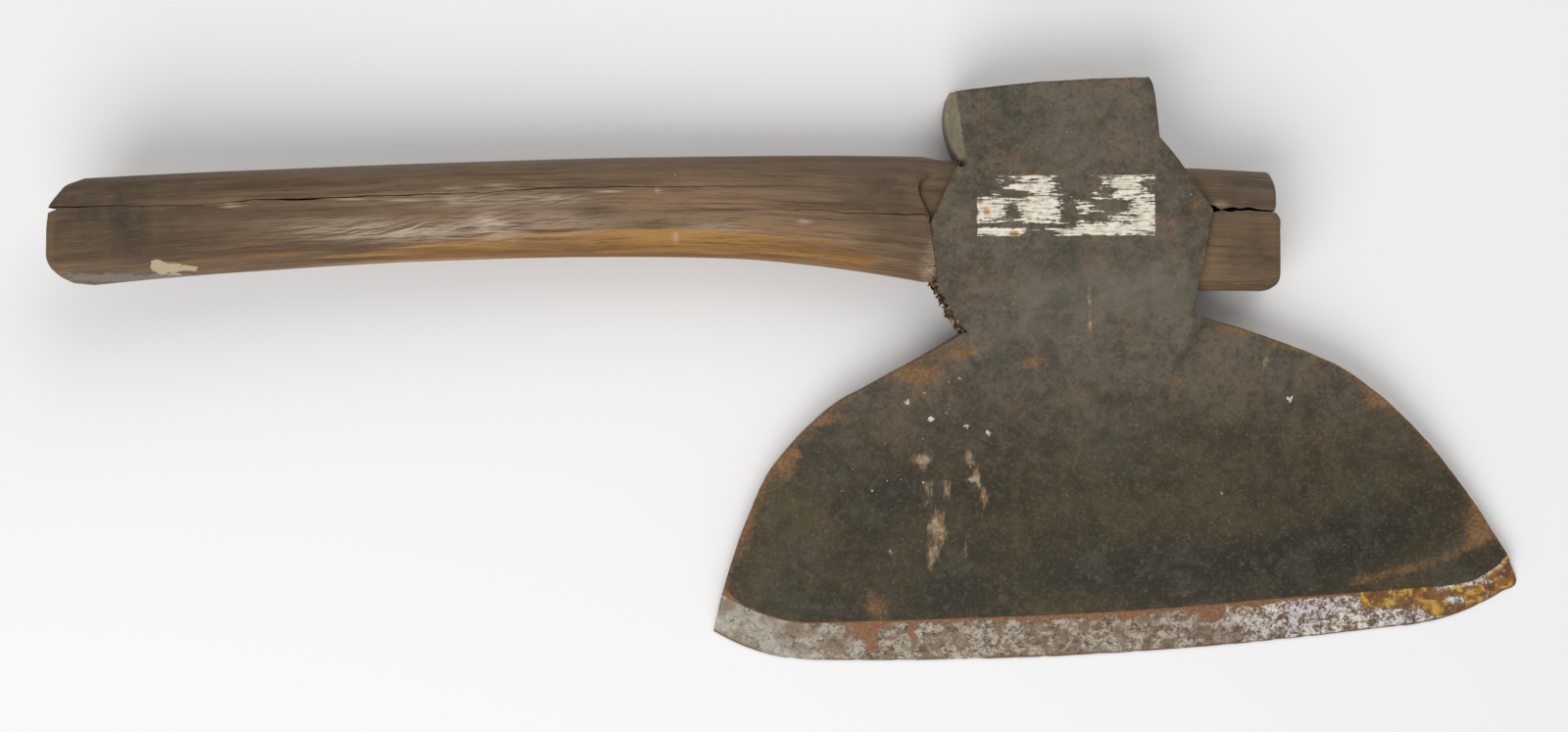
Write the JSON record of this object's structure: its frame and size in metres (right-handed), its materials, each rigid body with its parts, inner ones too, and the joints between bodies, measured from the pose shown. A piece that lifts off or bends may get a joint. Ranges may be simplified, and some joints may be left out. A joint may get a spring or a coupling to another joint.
{
  "type": "broad axe",
  "caption": "Single-bevel broad hewing axe with a wide forged blade, laid steel edge, squared poll and a short swayed wooden haft wedged in the eye.",
  "frame": {"origin": "on the head's flat side, straight under the centre of the eye", "axes": "+X along the eye, towards the short tongue of the haft; +Y across the haft, towards the poll; +Z out of the bevelled side, away from the flat side that the axe lies on"},
  "size_m": [0.549, 0.2219, 0.0524],
  "materials": {
    "forged_iron": "forged iron, dark olive-brown patina with rust along the shoulders",
    "edge_steel": "ground steel, pitted, with rust patches",
    "haft_wood": "worn, oiled and dirt-darkened hardwood with drying checks",
    "wedge_wood": "dry hardwood end grain",
    "wedge_iron": "rusted iron strap"
  },
  "bodies": {
    "root": {"head_body": "forged_iron", "steel_bit": "edge_steel", "haft": "haft_wood", "wooden_wedge": "wedge_wood", "iron_wedge": "wedge_iron"}
  },
  "joints": []
}
